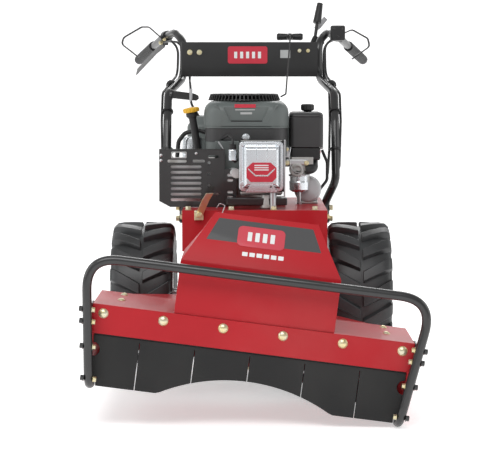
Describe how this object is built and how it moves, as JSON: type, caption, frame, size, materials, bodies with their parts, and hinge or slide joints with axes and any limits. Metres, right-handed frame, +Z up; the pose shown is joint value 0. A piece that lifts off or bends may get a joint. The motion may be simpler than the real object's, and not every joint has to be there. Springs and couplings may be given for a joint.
{
  "type": "brush mower",
  "caption": "Walk-behind brush mower with a pivoting front cutting deck, rubber flap and bumper, lug tyres, upright engine and bent tube handles.",
  "frame": {"origin": "on the ground, midway between the wheels, under the axle", "axes": "+Z up, -Y towards the front of the machine, +X the operator's left"},
  "size_m": [0.8261, 1.951, 1.0489],
  "materials": {
    "red_paint": "gloss enamel",
    "black_paint": "semi-gloss powder coat",
    "yellow_zinc": "yellow zinc plated",
    "bright_steel": "machined",
    "cast_aluminium": "as cast",
    "cast_iron": "machined casting",
    "wheel_rim": "black enamel",
    "chrome": "polished",
    "shroud_plastic": "moulded",
    "dark_plastic": "moulded",
    "yellow_plastic": "moulded",
    "tyre_rubber": "moulded rubber",
    "flap_rubber": "reinforced sheet",
    "belt_rubber": "fabric faced"
  },
  "bodies": {
    "chassis": {"engine_platform": "red_paint", "pivot_housing": "black_paint", "transaxle": "cast_aluminium", "crankcase": "cast_aluminium", "cylinder_head": "cast_aluminium", "rocker_cover": "chrome", "blower_housing": "shroud_plastic", "recoil_cover": "dark_plastic", "air_filter_housing": "dark_plastic", "carburettor": "cast_aluminium", "muffler": "bright_steel", "muffler_guard": "black_paint", "spark_plug_boot": "dark_plastic", "oil_filler_tube": "dark_plastic", "starter_motor": "cast_aluminium", "fuel_tank": "shroud_plastic", "handle_tube_left": "black_paint", "handle_tube_right": "black_paint", "console_panel": "black_paint", "hand_guard_left": "black_paint", "hand_guard_right": "black_paint", "grip_left": "dark_plastic", "grip_right": "dark_plastic", "control_box": "dark_plastic", "traction_belt": "belt_rubber", "blade_belt": "belt_rubber", "starter_rope": "belt_rubber"},
    "wheel_left": {"rim_left": "wheel_rim", "tyre_left": "tyre_rubber", "axle_shaft_left": "bright_steel"},
    "wheel_right": {"rim_right": "wheel_rim", "tyre_right": "tyre_rubber", "axle_shaft_right": "bright_steel"},
    "crank": {"crankshaft": "bright_steel", "flywheel": "cast_aluminium", "engine_pulley": "bright_steel"},
    "drive_pulley": {"transaxle_pulley": "bright_steel"},
    "deck": {"deck_shell": "red_paint", "belt_hood": "red_paint", "bumper_tube": "black_paint", "bumper_bracket_left": "black_paint", "bumper_bracket_right": "black_paint", "skid_shoe_left": "black_paint", "skid_shoe_right": "black_paint", "spindle_housing": "cast_iron", "deck_pivot_shaft": "bright_steel"},
    "blade": {"cutting_blade": "bright_steel", "blade_spindle": "bright_steel", "blade_pulley": "bright_steel"},
    "flap": {"front_flap": "flap_rubber"},
    "idler": {"idler_arm": "black_paint"},
    "idler_wheel": {"idler_pulley": "bright_steel"},
    "blade_control": {"blade_lever": "black_paint"},
    "speed_control": {"speed_lever": "dark_plastic"},
    "throttle_control": {"throttle_lever": "bright_steel"},
    "starter_grip": {"starter_handle": "dark_plastic"},
    "deck_latch": {"deck_lock_latch": "yellow_zinc"},
    "tank_cap": {"fuel_cap": "dark_plastic"},
    "dipstick": {"oil_cap": "yellow_plastic"},
    "filter_screw": {"air_filter_knob": "dark_plastic"}
  },
  "joints": [
    {"name": "deck_roll", "type": "hinge", "parent": "chassis", "child": "deck", "pos_m": [0, -0.15, 0.2], "axis": [0, 1, 0], "range_deg": [-19.25, 4.75], "deforming": ["blade_belt"]},
    {"name": "wheel_left_spin", "type": "hinge", "parent": "chassis", "child": "wheel_left", "pos_m": [0.306, 0, 0.203], "axis": [1, 0, 0], "continuous": true},
    {"name": "wheel_right_spin", "type": "hinge", "parent": "chassis", "child": "wheel_right", "pos_m": [-0.306, 0, 0.203], "axis": [1, 0, 0], "continuous": true},
    {"name": "blade_spin", "type": "hinge", "parent": "deck", "child": "blade", "pos_m": [0, -0.56, 0.2], "axis": [0.1262, 0, 0.992], "continuous": true},
    {"name": "crank_spin", "type": "hinge", "parent": "chassis", "child": "crank", "pos_m": [-0.015, -0.08, 0.5], "axis": [0, 0, 1], "continuous": true},
    {"name": "drive_pulley_spin", "type": "hinge", "parent": "chassis", "child": "drive_pulley", "pos_m": [0, 0.072, 0.4], "axis": [0, 0, 1], "continuous": true},
    {"name": "flap_swing", "type": "hinge", "parent": "deck", "child": "flap", "pos_m": [-0.00278, -0.933, 0.17818], "axis": [0.992, 0, -0.1262], "range_deg": [0, 22], "stiffness_Nm_per_rad": 3},
    {"name": "blade_lever_squeeze", "type": "hinge", "parent": "chassis", "child": "blade_control", "pos_m": [-0.272, 0.566, 0.922], "axis": [0.8314, 0.1859, -0.5236], "range_deg": [0, 11], "stiffness_Nm_per_rad": 10, "springref_deg": -5.73},
    {"name": "idler_swing", "type": "hinge", "parent": "chassis", "child": "idler", "pos_m": [0.104, -0.185, 0.372], "axis": [0, 0, 1], "range_deg": [-11, 0]},
    {"name": "idler_pulley_spin", "type": "hinge", "parent": "idler", "child": "idler_wheel", "pos_m": [0.104, -0.258, 0.33], "axis": [0, 0, 1], "continuous": true},
    {"name": "speed_lever_swing", "type": "hinge", "parent": "chassis", "child": "speed_control", "pos_m": [0.196, 0.452, 0.93], "axis": [1, 0, 0], "range_deg": [-15, 22]},
    {"name": "throttle_lever_swing", "type": "hinge", "parent": "chassis", "child": "throttle_control", "pos_m": [0.202, 0.52, 0.968], "axis": [0, 1, 0], "range_deg": [-30, 25]},
    {"name": "starter_pull", "type": "slide", "parent": "chassis", "child": "starter_grip", "axis": [0, 1, 0], "range_m": [0, 0.6], "stiffness_N_per_m": 30, "springref_m": -0.3, "deforming": ["starter_rope"]},
    {"name": "deck_latch_swing", "type": "hinge", "parent": "chassis", "child": "deck_latch", "pos_m": [-0.14, -0.356, 0.452], "axis": [0, 1, 0], "range_deg": [-30, 8]},
    {"name": "fuel_cap_twist", "type": "hinge", "parent": "chassis", "child": "tank_cap", "pos_m": [-0.08, 0.165, 0.715], "axis": [0, 0, 1], "range_deg": [0, 90]},
    {"name": "dipstick_pull", "type": "slide", "parent": "chassis", "child": "dipstick", "axis": [-0.1636, -0.0301, 0.9861], "range_m": [0, 0.17]},
    {"name": "filter_screw_turn", "type": "hinge", "parent": "chassis", "child": "filter_screw", "pos_m": [0.158, -0.06, 0.73], "axis": [0, 0, 1], "range_deg": [0, 270]}
  ],
  "couplings": [
    {"joint": "crank_spin", "follows": "blade_spin", "ratio": 1.5},
    {"joint": "drive_pulley_spin", "follows": "blade_spin", "ratio": 1.032},
    {"joint": "idler_swing", "follows": "blade_lever_squeeze", "ratio": -1}
  ]
}
